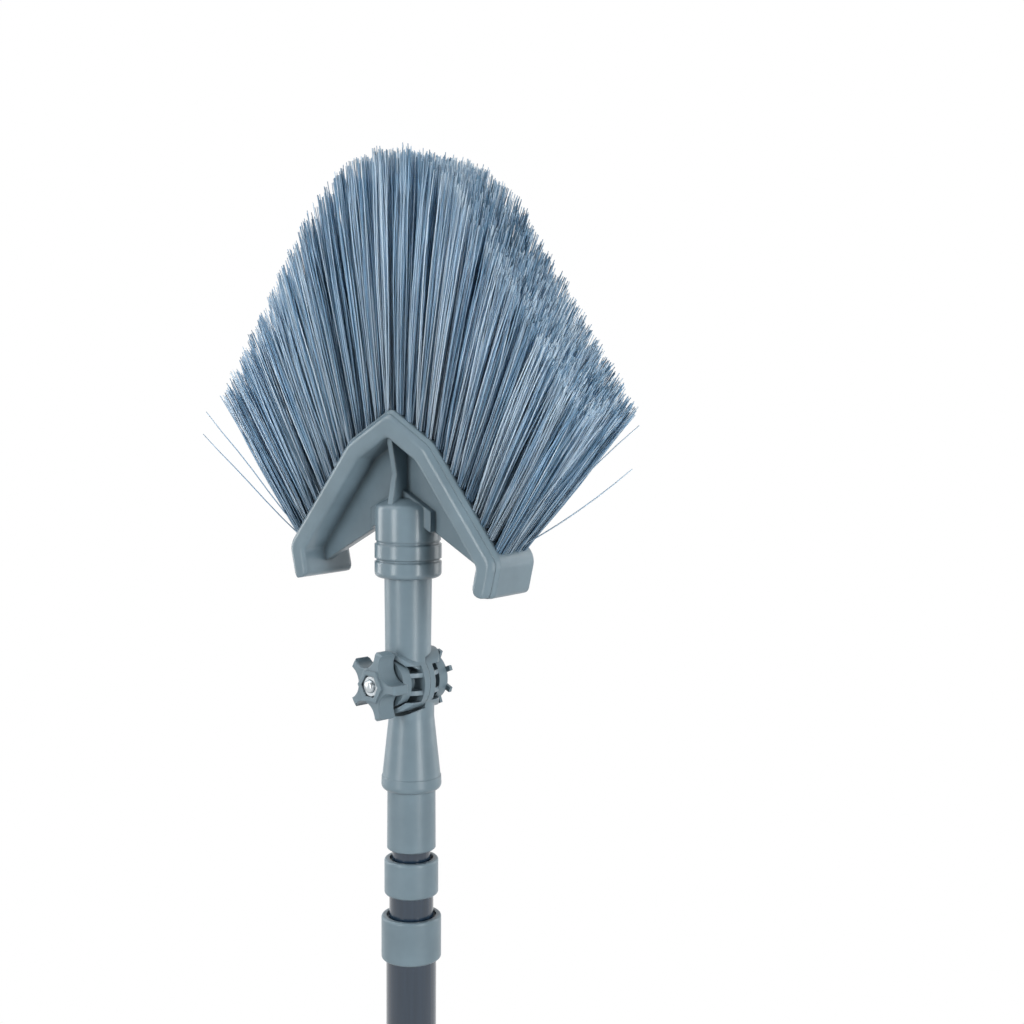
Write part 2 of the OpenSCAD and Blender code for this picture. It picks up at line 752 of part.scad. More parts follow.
// The web in the middle plane, its pad and the upright ribs above the socket
module web_and_ribs() {
    wall_mid = [(ridge + ridge_in) / 2, (bend + bend_in) / 2, (corner_out + corner_in) / 2];
    meet = [foot_mid[0], web_z(foot_mid[0])];
    rotate([90, 0, 0]) linear_extrude(web_t, center = true) polygon([
        wall_mid[0], wall_mid[1], wall_mid[2], meet, [0, web_z(0)],
        mirror_x(meet), mirror_x(wall_mid[2]), mirror_x(wall_mid[1])
    ]);
    rotate([90, 0, 0]) linear_extrude(pad_t, center = true) polygon([
        [0, web_z(0)], [pad_w / 2, web_z(pad_w / 2)], [pad_w / 2, web_z(pad_w / 2) + pad_h],
        [0, web_z(0) + pad_h], [-pad_w / 2, web_z(pad_w / 2) + pad_h], [-pad_w / 2, web_z(pad_w / 2)]
    ]);
    for (side = [-1, 1])
        translate([-rib_w / 2, 0, 0]) rotate([90, 0, 90]) linear_extrude(rib_w) polygon([
            [0, ridge_in[1] / 2], [side * rib_top, ridge_in[1] / 2], [side * rib_top, ridge_in[1] - rib_lip],
            [side * rib_waist, ridge_in[1] - rib_waist_fall], [side * rib_foot, web_z(0) + rib_sink], [0, web_z(0)]
        ]);
}

// The socket's outside: two rings, the plain barrel and its domed top
module socket_body() {
    mouth = socket_z - ridge_z;
    br = barrel_d / 2;
    rr = ring_d / 2;
    g = ring_groove;
    rings_top = mouth + 2 * ring_h;
    barrel_top = rings_top + barrel_h;
    rotate_extrude() polygon(concat(
        [[0, mouth]],
        arc_points([rr - barrel_round, mouth + barrel_round], barrel_round, -90, 0, 5),
        [
            [rr, mouth + ring_h - g], [rr - g, mouth + ring_h - g / 2], [rr - g, mouth + ring_h + g / 2],
            [rr, mouth + ring_h + g], [rr, rings_top - g], [rr - g, rings_top - g / 2],
            [rr - g, rings_top + g / 2], [br, rings_top + g]
        ],
        arc_points([br - barrel_round, barrel_top - barrel_round], barrel_round, 0, 70, 4),
        [[br * 0.55, barrel_top + dome_h * 0.65], [0, barrel_top + dome_h]]
    ));
}

// The moulded brush block: the bent wall, the web and the socket in one piece
module head_block() {
    mouth = socket_z - ridge_z;
    color(plastic) head_place() difference() {
        union() {
            swept_wall(wall_section, outer_line, inner_line);
            web_and_ribs();
            socket_body();
        }
        translate([0, 0, mouth - over]) cylinder(d = screw_d + 2 * run_gap, h = seat_depth + screw_len + over);
        translate([0, 0, mouth - over]) cylinder(d = neck_top_d + 2 * joint_gap, h = seat_depth + over);
    }
}

// Flat metal anchors that hold the folded tufts in the block, one under each tuft
module tuft_anchors() {
    color(zinc) head_place()
        for (side = [-1, 1], c = [0:tuft_columns - 1], row = [0:tuft_rows - 1]) {
            s = first_tuft + c * tuft_pitch;
            p = face_point(s);
            translate([side * p[0], (row - (tuft_rows - 1) / 2) * row_pitch, p[1]])
                rotate([0, side * lean(s), 0]) translate([0, 0, -anchor_depth])
                    cube([anchor_t, anchor_w, anchor_h], center = true);
        }
}

// The bristles of the right side: their bed and every strand that stands in it
module bristles() {
    ends = strand_ends();
    points = [
        for (e = ends) each concat(strand_ring(e[0], strand_r), strand_ring(e[1], strand_tip_r))
    ];
    faces = [
        for (i = [0:len(ends) - 1])
            let (a = 6 * i)
            each [
                [a, a + 1, a + 2], [a + 3, a + 5, a + 4],
                for (k = [0:2]) let (b = a + k, c = a + (k + 1) % 3) each [[b, b + 3, c + 3], [b, c + 3, c]]
            ]
    ];
    swept_wall(bed_section, slice_outer, slice_inner);
    polyhedron(points, faces);
}

module bristles_left() {
    color(bristle_blue) head_place() mirror([1, 0, 0]) bristles();
}

module bristles_right() {
    color(bristle_blue) head_place() bristles();
}

grip();
outer_tube();
lower_collar();
middle_lock_ring();
middle_lock_plug();
middle_tube();
upper_collar();
inner_lock_ring();
inner_lock_plug();
inner_tube();
pole_tip();
elbow_lower();
elbow_upper();
clamp_bolt();
knob_washer();
star_knob();
knob_nut();
head_block();
tuft_anchors();
bristles_left();
bristles_right();
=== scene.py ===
"""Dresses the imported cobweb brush: materials for every CAD node, the full fan of bristles,
small turned details, and a plain studio whose camera stands where the photograph's stood."""

import json
import math

import bpy
import numpy as np
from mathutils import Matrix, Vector

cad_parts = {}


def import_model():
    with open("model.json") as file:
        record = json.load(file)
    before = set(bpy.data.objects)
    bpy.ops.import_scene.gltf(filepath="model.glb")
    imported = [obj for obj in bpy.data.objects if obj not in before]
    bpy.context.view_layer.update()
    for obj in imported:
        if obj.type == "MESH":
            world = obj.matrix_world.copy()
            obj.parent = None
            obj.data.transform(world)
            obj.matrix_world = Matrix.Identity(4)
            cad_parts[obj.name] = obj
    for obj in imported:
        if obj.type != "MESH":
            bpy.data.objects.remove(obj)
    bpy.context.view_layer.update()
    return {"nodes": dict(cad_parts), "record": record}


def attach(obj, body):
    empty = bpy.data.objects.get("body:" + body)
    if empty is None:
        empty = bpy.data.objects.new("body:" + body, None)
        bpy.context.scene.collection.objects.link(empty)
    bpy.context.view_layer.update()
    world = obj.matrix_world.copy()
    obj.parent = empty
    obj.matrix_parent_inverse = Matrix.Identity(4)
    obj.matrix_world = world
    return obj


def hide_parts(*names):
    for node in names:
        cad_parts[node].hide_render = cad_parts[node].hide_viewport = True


bl_info = {
    "name": "Cobweb brush dressing",
    "version": (1, 0, 0),
    "blender": (4, 5, 0),
    "location": "3D View > Sidebar > Brush",
    "description": "Builds the bristles, materials, details and studio of a telescopic cobweb brush",
    "category": "Object",
}

MM = 0.001

# Sizes repeated from the CAD source, in millimetres
RIDGE_X = -0.32
RIDGE_Y = -2.278
RIDGE_Z = 1343.2
PIVOT_Z = 1210.0
ELBOW_TURN = 8.0
FAR_FACE = 13.45
BOLT_R = 3.0
NUT_AF = 10.0
NUT_H = 5.0
NUT_OUTER = -26.65
BEND = np.array([26.0, -16.0])
CORNER = np.array([66.5, -69.0])
FOOT = np.array([62.5, -87.0])
WALL = 11.5
COLUMNS = 13
ROWS = 4
TUFT_PITCH = 7.2
ROW_PITCH = 6.2
FIRST_TUFT = 4.0
BRISTLE_TOP = 125.0
FAN_SPREAD = 2.1
FIELD_HALF = 13.0
SLICE_T = 1.6
SLICE_HALF = 15.0
OUTER_RADII = (5.0, 14.0, 8.0, 3.6)
INNER_RADII = (4.0, 6.0, 3.0, 3.6)
FOOT_SLIT = 2.0

# Shape of the trimmed fan, in millimetres and degrees, read from the photograph
TRIM_TOP = 121.5
TRIM_SHIFT = 4.0
FAN_SLOPE = 1.47
FAN_LEAN = 33.5
DOME = 0.011
DOME_HALF = 45.0
REACH = 119.0

# Habits of single fibres: lengths in millimetres, leans in radians, shares and tones from 0 to 1
FIRST_SEED = 11
SIDE_SEED = 5
LONGEST = 260.0
HALVINGS = 24
TIP_SHIFT = 0.5
RIDGE_SHARE = 0.4
CUT_SPREAD = 0.9
CUT_PROUD = 0.5
CUT_DROP = 1.6
STRAY_SHARE = 0.012
STRAY_LEAN = 0.05
LOOSE_SHARE = 0.022
LOOSE_LEAN = 0.04
LOOSE_FLARE = 0.3
SHORT_BY = 1.4
SHORT_SHARE = 0.3
DEPTH_SPREAD = 0.7
DEPTH_HALF = 23.0
ROOT_SINK = 0.3
TOP_PLAY = 0.8
TAPER = 0.35
TUFT_TONE = 0.1
MEAN_TONE = 0.66
FIBRE_TONE = 0.24

# Sizes of the details that only this script makes, in millimetres
NUT_FACE = 4.7
BOLT_OUT = 1.6
BOLT_PITCH = 1.0
RIBS = 8
RIB_W = 2.6
RIB_H = 1.8
RIB_IN = 8.2
RIB_OUT = 14.4
RIB_SINK = 0.4
RIB_EDGE = 0.5
THREAD_GAP = 0.05
THREAD_EDGE = 0.35
THREAD_DEPTH = 0.3
BOLT_EDGE = 0.7

# The studio: distances in metres, and the floor's half side in millimetres
LAMP_DISTANCE = 1.25
LAMP_TARGET = 1.3
FLOOR_HALF = 6000.0
FLOOR_SHADE = 0.9


# Small helpers


def linear(hex_colour):
    """The linear RGBA of an sRGB colour written as #rrggbb."""
    values = [int(hex_colour[i:i + 2], 16) / 255 for i in (1, 3, 5)]
    return tuple(v / 12.92 if v <= 0.04045 else ((v + 0.055) / 1.055) ** 2.4 for v in values) + (1.0,)


def node(tree, kind, place, settings=None, **inputs):
    """Adds a shader node. settings sets its properties, and inputs links or sets its sockets."""
    made = tree.nodes.new(kind)
    made.location = place
    for key, value in (settings or {}).items():
        setattr(made, key, value)
    for key, value in inputs.items():
        numbered = key[0] == "i" and key[1:].isdigit()
        socket = made.inputs[int(key[1:]) if numbered else key.replace("_", " ")]
        if isinstance(value, bpy.types.NodeSocket):
            tree.links.new(value, socket)
        else:
            socket.default_value = value
    return made


def ramp(tree, place, source, stops):
    """A colour ramp over a value, from (position, colour) stops."""
    made = node(tree, "ShaderNodeValToRGB", place, Fac=source)
    while len(made.color_ramp.elements) < len(stops):
        made.color_ramp.elements.new(0.5)
    for element, (position, colour) in zip(made.color_ramp.elements, stops):
        element.position = position
        element.color = colour
    return made.outputs["Color"]


def new_material(name):
    """An empty node material with its output and shader."""
    material = bpy.data.materials.new(name)
    material.use_nodes = True
    tree = material.node_tree
    tree.nodes.clear()
    output = node(tree, "ShaderNodeOutputMaterial", (900, 0))
    shader = node(tree, "ShaderNodeBsdfPrincipled", (600, 0))
    tree.links.new(shader.outputs[0], output.inputs["Surface"])
    return material, tree, shader


def add_mesh(name, points, faces, material, smooth=True):
    """A mesh object from an array of points in millimetres and an array of equal faces."""
    points = np.asarray(points, dtype=np.float64) * MM
    faces = np.asarray(faces, dtype=np.int32)
    mesh = bpy.data.meshes.new(name)
    corners = faces.shape[1]
    mesh.vertices.add(len(points))
    mesh.vertices.foreach_set("co", points.ravel())
    mesh.loops.add(faces.size)
    mesh.loops.foreach_set("vertex_index", faces.ravel())
    mesh.polygons.add(len(faces))
    mesh.polygons.foreach_set("loop_start", np.arange(0, faces.size, corners, dtype=np.int32))
    mesh.polygons.foreach_set("use_smooth", np.full(len(faces), smooth))
    mesh.materials.append(material)
    mesh.update(calc_edges=True)
    mesh.validate()
    obj = bpy.data.objects.new(name, mesh)
    bpy.context.scene.collection.objects.link(obj)
    return obj


# Materials


def moulded_plastic(name, colour, bump=0.05, rough=0.34, edge_radius=0.0008):
    """Injection-moulded plastic: a satin skin with cloudy tone, fine grain, soft edges and painted shade in
    its hollows.
    """
    material, tree, shader = new_material(name)
    place = node(tree, "ShaderNodeTexCoord", (-900, 0)).outputs["Object"]
    cloud = node(tree, "ShaderNodeTexNoise", (-650, 200),
                 Vector=place, Scale=45.0, Detail=3.0, Roughness=0.6)
    grain = node(tree, "ShaderNodeTexNoise", (-650, -150),
                 Vector=place, Scale=2600.0, Detail=2.0, Roughness=0.5)
    base = linear(colour)
    dark = tuple(v * 0.9 for v in base[:3]) + (1.0,)
    light = tuple(min(1.0, v * 1.07) for v in base[:3]) + (1.0,)
    shader.inputs["Roughness"].default_value = rough
    shader.inputs["Specular IOR Level"].default_value = 0.42
    tint = ramp(tree, (-350, 200), cloud.outputs["Fac"], [(0.3, dark), (0.7, light)])
    # Painted shade: an ambient occlusion node darkens the colour, down to half, in hollows and under nearby
    # parts, where shade falls.
    open_share = node(tree, "ShaderNodeAmbientOcclusion", (-350, 450), {"samples": 6}, Distance=0.014)
    level = node(tree, "ShaderNodeMapRange", (-100, 450), Value=open_share.outputs["AO"],
                 i1=0.1, i2=0.8, i3=0.5, i4=1.0)
    painted_hollow_shade = node(tree, "ShaderNodeVectorMath", (150, 300), {"operation": "SCALE"},
                 i0=tint, Scale=level.outputs[0])
    tree.links.new(painted_hollow_shade.outputs[0], shader.inputs["Base Color"])
    edge = node(tree, "ShaderNodeBevel", (0, -400), {"samples": 6}, Radius=edge_radius)
    bumped = node(tree, "ShaderNodeBump", (250, -250),
                  Strength=bump, Distance=0.0002, Height=grain.outputs["Fac"])
    tree.links.new(edge.outputs["Normal"], bumped.inputs["Normal"])
    tree.links.new(bumped.outputs["Normal"], shader.inputs["Normal"])
    return material


def coated_tube(name, colour):
    """Gloss coating on a steel tube: a clear sheen over a deep tone, with orange peel and drawn streaks."""
    material, tree, shader = new_material(name)
    place = node(tree, "ShaderNodeTexCoord", (-1000, 0)).outputs["Object"]
    stretched = node(tree, "ShaderNodeMapping", (-800, 0), Vector=place, Scale=(1.0, 1.0, 0.03))
    streak = node(tree, "ShaderNodeTexNoise", (-600, 150),
                  Vector=stretched.outputs["Vector"], Scale=420.0, Detail=3.0)
    peel = node(tree, "ShaderNodeTexNoise", (-600, -200), Vector=place, Scale=500.0, Detail=1.0)
    base = linear(colour)
    low = tuple(v * 0.86 for v in base[:3]) + (1.0,)
    high = tuple(v * 1.12 for v in base[:3]) + (1.0,)
    shader.inputs["Roughness"].default_value = 0.16
    shader.inputs["Specular IOR Level"].default_value = 0.6
    shader.inputs["Coat Weight"].default_value = 0.3
    shader.inputs["Coat Roughness"].default_value = 0.1
    tint = ramp(tree, (-300, 150), streak.outputs["Fac"], [(0.3, low), (0.7, high)])
    tree.links.new(tint, shader.inputs["Base Color"])
    bumped = node(tree, "ShaderNodeBump", (250, -250),
                  Strength=0.06, Distance=0.0003, Height=peel.outputs["Fac"])
    tree.links.new(bumped.outputs["Normal"], shader.inputs["Normal"])
    return material


def zinc_plate(name):
    """Bright zinc plate on a bolt, nut or washer: clear metal with small dull spots."""
    material, tree, shader = new_material(name)
    place = node(tree, "ShaderNodeTexCoord", (-900, 0)).outputs["Object"]
    spots = node(tree, "ShaderNodeTexNoise", (-650, 150), Vector=place, Scale=900.0, Detail=4.0)
    shader.inputs["Base Color"].default_value = linear("#c3cace")
    shader.inputs["Metallic"].default_value = 1.0
    rough = node(tree, "ShaderNodeMapRange", (-300, 100), Value=spots.outputs["Fac"], i3=0.2, i4=0.42)
    tree.links.new(rough.outputs[0], shader.inputs["Roughness"])
    bumped = node(tree, "ShaderNodeBump", (250, -250),
                  Strength=0.1, Distance=0.0001, Height=spots.outputs["Fac"])
    tree.links.new(bumped.outputs["Normal"], shader.inputs["Normal"])
    return material


def bristle_fibre(name, dark, middle, light):
    """Drawn plastic fibre: each has its own tone from dark to light, and painted shade darkens all of them
    near the block.
    """
    material, tree, shader = new_material(name)
    tone = node(tree, "ShaderNodeAttribute", (-900, 100), {"attribute_name": "tone"}).outputs["Fac"]
    along = node(tree, "ShaderNodeAttribute", (-900, -150), {"attribute_name": "along"}).outputs["Fac"]
    stops = [(0.0, linear(dark)), (0.5, linear(middle)), (1.0, linear(light))]
    colours = ramp(tree, (-600, 100), tone, stops)
    # Painted shade: the colour falls to 0.6 at the fibre's root and rises to full at 0.6 of its length,
    # standing in for the fan's shade near the block.
    depth = node(tree, "ShaderNodeMapRange", (-600, -150), Value=along, i2=0.6, i3=0.6, i4=1.0)
    colours_with_painted_shade = node(tree, "ShaderNodeVectorMath", (-200, 50), {"operation": "SCALE"},
                  i0=colours, Scale=depth.outputs[0])
    tree.links.new(colours_with_painted_shade.outputs[0], shader.inputs["Base Color"])
    shader.inputs["Roughness"].default_value = 0.35
    shader.inputs["Specular IOR Level"].default_value = 0.7
    return material


def build_materials(settings):
    """Every material by the record's slot name, and the glossier plastic of the brush block by its node."""
    return {
        "grip_plastic": moulded_plastic("grip_plastic_satin", settings.grip_colour, bump=0.09, rough=0.5),
        "moulded_plastic": moulded_plastic("moulded_plastic_satin", settings.plastic_colour),
        "head_block": moulded_plastic(
            "moulded_plastic_gloss", settings.plastic_colour, bump=0.03, rough=0.24, edge_radius=0.0014),
        "lock_plastic": moulded_plastic("lock_plastic_satin", "#3f484f"),
        "tube_coating": coated_tube("tube_gloss_coating", settings.tube_colour),
        "zinc": zinc_plate("zinc_plated_steel"),
        "bristle": bristle_fibre(
            "bristle_drawn_fibre", settings.dark_fibre, settings.fibre_colour, settings.light_fibre),
    }


# Turned and moulded details


def elbow_points(u, v, w):
    """Points round the elbow's bolt in the row frame: u across it, v along it from the knob, and w up."""
    c, s = math.cos(math.radians(ELBOW_TURN)), math.sin(math.radians(ELBOW_TURN))
    return np.stack([u * c + v * s, v * c - u * s, w + PIVOT_Z], axis=-1)


def loft(rings, closed=False):
    """The triangles of a skin through equal rings of points, closed on itself or with flat ends."""
    grid = np.stack(rings)
    m, n = grid.shape[:2]
    points = grid.reshape(-1, 3)
    index = np.arange(m * n).reshape(m, n)
    a = index if closed else index[:-1]
    b = np.roll(index, -1, axis=0) if closed else index[1:]
    a2, b2 = np.roll(a, -1, axis=1), np.roll(b, -1, axis=1)
    faces = [np.stack([a, a2, b2], -1).reshape(-1, 3), np.stack([a, b2, b], -1).reshape(-1, 3)]
    if not closed:
        for row, turn in ((index[0], -1), (index[-1], 1)):
            fan = np.stack([np.full(n - 2, row[0]), row[1:-1], row[2:]], -1)
            faces.append(fan[:, ::turn])
    faces = np.concatenate(faces)
    p = points[faces]
    volume = np.einsum("ij,ij->", p[:, 0], np.cross(p[:, 1], p[:, 2]))
    return points, faces if volume > 0 else faces[:, ::-1]


def nut_mesh():
    """The hexagon nut: the cone r = NUT_FACE + depth / tan 30 trims its corners."""
    angle = np.linspace(0, 2 * math.pi, 96, endpoint=False)
    sector = (angle + math.pi / 6) % (math.pi / 3) - math.pi / 6
    hexagon = NUT_AF / 2 / np.cos(sector)
    drop = np.maximum(hexagon - NUT_FACE, 0) * math.tan(math.radians(30))
    flat = np.zeros_like(angle)
    inner = NUT_OUTER + NUT_H

    def ring(radius, v):
        return elbow_points(radius * np.cos(angle), v + flat, radius * np.sin(angle))

    thread = BOLT_R + THREAD_GAP
    mouth = thread + THREAD_EDGE
    return loft([
        ring(hexagon, inner - drop), ring(hexagon, NUT_OUTER + drop), ring(NUT_FACE + flat, NUT_OUTER),
        ring(mouth + flat, NUT_OUTER), ring(thread + flat, NUT_OUTER + THREAD_EDGE),
        ring(thread + flat, inner - THREAD_EDGE), ring(mouth + flat, inner), ring(NUT_FACE + flat, inner),
    ], closed=True)


def bolt_end_mesh():
    """The bolt's threaded, bevelled end: r = BOLT_R - THREAD_DEPTH (1 + cos(2 pi v / pitch - angle)) / 2."""
    angle = np.linspace(0, 2 * math.pi, 64, endpoint=False)
    rings = []
    for v in np.linspace(NUT_OUTER + 1.0, NUT_OUTER - BOLT_OUT, 32):
        radius = BOLT_R - THREAD_DEPTH / 2 * (1 + np.cos(2 * math.pi * v / BOLT_PITCH - angle))
        radius = np.minimum(radius, BOLT_R - BOLT_EDGE + (v - NUT_OUTER + BOLT_OUT))
        rings.append(elbow_points(radius * np.cos(angle), np.full_like(angle, v), radius * np.sin(angle)))
    return loft(rings)


def rib_meshes():
    """The upright ribs that radiate over the far cheek's face, each with a chamfered edge."""
    half = RIB_W / 2
    for k in range(RIBS):
        turn = 2 * math.pi * (k + 0.5) / RIBS
        rings = []
        for v, inset in ((-RIB_SINK, 0.0), (RIB_H - RIB_EDGE, 0.0), (RIB_H, RIB_EDGE)):
            r = np.array([RIB_IN + inset, RIB_OUT - inset, RIB_OUT - inset, RIB_IN + inset])
            t = np.array([inset - half, inset - half, half - inset, half - inset])
            across = r * np.cos(turn) - t * np.sin(turn)
            up = r * np.sin(turn) + t * np.cos(turn)
            rings.append(elbow_points(across, np.full(4, FAR_FACE + v), up))
        yield loft(rings)


# The fan's shape


def unit(v):
    """A vector of length 1."""
    return v / np.linalg.norm(v)


def face_point(s):
    """Points on the tufted face at distances s along the wall: ridge to bend, then bend to corner."""
    s = np.asarray(s, dtype=float)
    roof = np.linalg.norm(BEND)
    leg = np.linalg.norm(CORNER - BEND)
    on_roof = BEND * (s / roof)[..., None]
    on_leg = BEND + (CORNER - BEND) * ((s - roof) / leg)[..., None]
    return np.where((s < roof)[..., None], on_roof, on_leg)


def lean(s):
    """The lean of the bristles that stand at distance s, in radians: FAN_LEAN * (s / last) ** 0.85."""
    last = FIRST_TUFT + (COLUMNS - 1) * TUFT_PITCH
    return np.radians(FAN_LEAN * (np.maximum(s, 0) / last) ** 0.85)


def trim_height(x):
    """Height of the fan, x from TRIM_SHIFT: TRIM_TOP - DOME x^2 to DOME_HALF, then a FAN_SLOPE fall."""
    x = np.abs(x - TRIM_SHIFT)
    side = DOME * DOME_HALF ** 2 + FAN_SLOPE * (x - DOME_HALF)
    return TRIM_TOP - np.where(x < DOME_HALF, DOME * x ** 2, side)


def bristle_length(s, a, side):
    """The length at which a side's bristle from s with lean a meets the trim line, found by halving."""
    p = face_point(s)
    low = np.zeros(np.shape(a))
    high = np.full(np.shape(a), LONGEST)
    for _ in range(HALVINGS):
        middle = (low + high) / 2
        short = p[..., 1] + middle * np.cos(a) < trim_height(side * (p[..., 0] + middle * np.sin(a)))
        low = np.where(short, middle, low)
        high = np.where(short, high, middle)
    return low


def head_points(x, y, z):
    """Points of the head's own frame, whose origin is on the ridge, put in the row frame."""
    return np.stack([x + RIDGE_X, y + RIDGE_Y, z + RIDGE_Z], axis=-1)


def fibre_mesh(side, rows, settings, seed):
    """The fibres of some rows of one side, as points, triangles, tone and along values.

    A fibre's root lies in its tuft's round hole. Its tip keeps that offset, grown by the fan's spread.
    Between them it bows by bow * sin(pi t) and wanders by wave * t * sin(2 pi (t + phase)). A few last
    ones stand loose. Every tuft and every fibre has a tone of its own, which doesn't follow its place.
    """
    rng = np.random.default_rng(seed)
    count = settings.fibres
    steps = settings.segments
    columns = np.repeat(np.arange(COLUMNS), len(rows) * count)
    row = np.tile(np.repeat(np.array(rows), count), COLUMNS)
    n = len(columns)
    radius = settings.tuft_radius * np.sqrt(rng.random(n))
    angle = rng.random(n) * 2 * math.pi
    ds = radius * np.cos(angle)
    dy = radius * np.sin(angle)
    s = FIRST_TUFT + columns * TUFT_PITCH
    y = (row - (ROWS - 1) / 2) * ROW_PITCH
    root = face_point(s + ds)
    s_tip = s + ds * settings.fill + rng.normal(0, TIP_SHIFT, n)
    s_tip = np.maximum(s_tip, 0.0) + np.minimum(s_tip, 0.0) * RIDGE_SHARE
    a = lean(np.abs(s_tip)) * np.sign(s_tip + 1e-9) + side * settings.fan_tilt
    full = bristle_length(np.abs(s_tip), a, side)
    full = full + rng.normal(0, CUT_SPREAD, n) + rng.exponential(CUT_PROUD, n) - CUT_DROP
    a = a + rng.normal(0, settings.stray, n)
    a = a + np.where(rng.random(n) < STRAY_SHARE, rng.normal(0, STRAY_LEAN, n), 0)
    loose = (columns == COLUMNS - 1) & (rng.random(n) < LOOSE_SHARE)
    a = a + np.where(loose, LOOSE_LEAN + LOOSE_FLARE * rng.random(n), 0)
    full = full - np.abs(rng.normal(0, SHORT_BY, n)) * (rng.random(n) < SHORT_SHARE)
    full = np.where(loose, np.minimum(full, (REACH - root[:, 0]) / np.sin(a)), full)
    y_root = y + dy
    y_tip = (y + dy * settings.fill) * FAN_SPREAD + rng.normal(0, DEPTH_SPREAD, n)
    y_tip = np.clip(y_tip, -DEPTH_HALF, DEPTH_HALF)
    t = np.linspace(0, 1, steps + 1)
    bow = rng.normal(0, settings.bow, (n, 2))
    wave = rng.normal(0, settings.wave, (n, 2))
    phase = rng.random((n, 2))
    grow = t[None, :]
    along = full[:, None] * grow
    arch = np.sin(math.pi * grow)
    side_x = bow[:, 0:1] * arch + wave[:, 0:1] * grow * np.sin(2 * math.pi * (grow + phase[:, 0:1]))
    side_y = bow[:, 1:2] * arch + wave[:, 1:2] * grow * np.sin(2 * math.pi * (grow + phase[:, 1:2]))
    x = root[:, 0:1] + along * np.sin(a)[:, None] + side_x * np.cos(a)[:, None]
    z = root[:, 1:2] + along * np.cos(a)[:, None] - side_x * np.sin(a)[:, None] - ROOT_SINK
    yy = y_root[:, None] + (y_tip - y_root)[:, None] * grow + side_y
    z = np.minimum(z, BRISTLE_TOP + TOP_PLAY)
    centre = np.stack([x, yy, z], axis=-1)
    r = settings.fibre_radius * (1 - TAPER * grow ** 3)
    turn = rng.random(n) * 2 * math.pi
    rings = []
    for k in range(3):
        w = turn + 2 * math.pi * k / 3
        out = np.stack([np.cos(w) * np.cos(a), np.sin(w), -np.cos(w) * np.sin(a)], axis=-1)
        rings.append(centre + out[:, None, :] * r[..., None])
    points = np.stack(rings, axis=2)
    points[..., 0] *= side
    base = (np.arange(n) * (steps + 1) * 3)[:, None, None]
    i = np.arange(steps)[None, :, None] * 3
    k = np.arange(3)[None, None, :]
    k2 = (k + 1) % 3
    quad = [base + i + k, base + i + k2, base + i + 3 + k2, base + i + 3 + k]
    if side > 0:
        first = [quad[0], quad[1], quad[2]]
        second = [quad[0], quad[2], quad[3]]
    else:
        first = [quad[0], quad[2], quad[1]]
        second = [quad[0], quad[3], quad[2]]
    faces = np.concatenate([np.stack(first, -1).reshape(-1, 3), np.stack(second, -1).reshape(-1, 3)])
    top = base[:, 0, 0] + steps * 3
    cap = np.stack([top, top + 1, top + 2] if side > 0 else [top, top + 2, top + 1], -1)
    faces = np.concatenate([faces, cap])
    flat = points.reshape(-1, 3)
    placed = head_points(flat[:, 0], flat[:, 1], flat[:, 2])
    tuft_tone = rng.normal(0, TUFT_TONE, COLUMNS * len(rows))
    tone = np.clip(MEAN_TONE + np.repeat(tuft_tone, count) + rng.normal(0, FIBRE_TONE, n), 0, 1)
    tone = np.repeat(tone, (steps + 1) * 3)
    share = np.repeat(np.tile(t, n), 3)
    return placed, faces, tone, share


def corner_arc(before, p, after, r, steps):
    """Points of the arc of radius r that rounds the corner at p."""
    u, v = unit(before - p), unit(after - p)
    half = math.acos(float(u @ v)) / 2
    centre = p + unit(u + v) * r / math.sin(half)
    start = p + u * r / math.tan(half) - centre
    across = p - centre
    turn = math.copysign(math.pi - 2 * half, start[0] * across[1] - start[1] * across[0])
    return [
        centre + np.array([
            start[0] * math.cos(turn * k / steps) - start[1] * math.sin(turn * k / steps),
            start[0] * math.sin(turn * k / steps) + start[1] * math.cos(turn * k / steps),
        ])
        for k in range(steps + 1)
    ]


def inner_corner(before, p, after, depth):
    """The corner at the given depth inside the corner at p."""
    u, v = unit(before - p), unit(after - p)
    half = math.acos(float(u @ v)) / 2
    return p + unit(u + v) * depth / math.sin(half)


def slice_line(depth, steps):
    """The right half of the wall's outline at a depth below the tufted face, from ridge to foot."""
    mirror = np.array([-1.0, 1.0])
    step = unit(np.array([(FOOT - CORNER)[1], -(FOOT - CORNER)[0]]))
    foot_in = FOOT + step * WALL
    ridge = np.array([0.0, 0.0])

    def line(side_depth, radii, foot, slit):
        top = ridge if side_depth == 0 else inner_corner(BEND * mirror, ridge, BEND, side_depth)
        bend = BEND if side_depth == 0 else inner_corner(ridge, BEND, CORNER, side_depth)
        corner = CORNER if side_depth == 0 else inner_corner(BEND, CORNER, FOOT, side_depth)
        end = (FOOT + foot_in) / 2 + step * slit
        points = corner_arc(bend * mirror, top, bend, radii[0], 2 * steps)[steps:]
        points += corner_arc(top, bend, corner, radii[1], steps)
        points += corner_arc(bend, corner, foot, radii[2], steps)
        points += corner_arc(corner, foot, end, radii[3], steps)
        return np.array(points + [end])

    outer = line(0, OUTER_RADII, FOOT, -FOOT_SLIT)
    inner = line(WALL, INNER_RADII, foot_in, FOOT_SLIT)
    return outer + (inner - outer) * depth / WALL


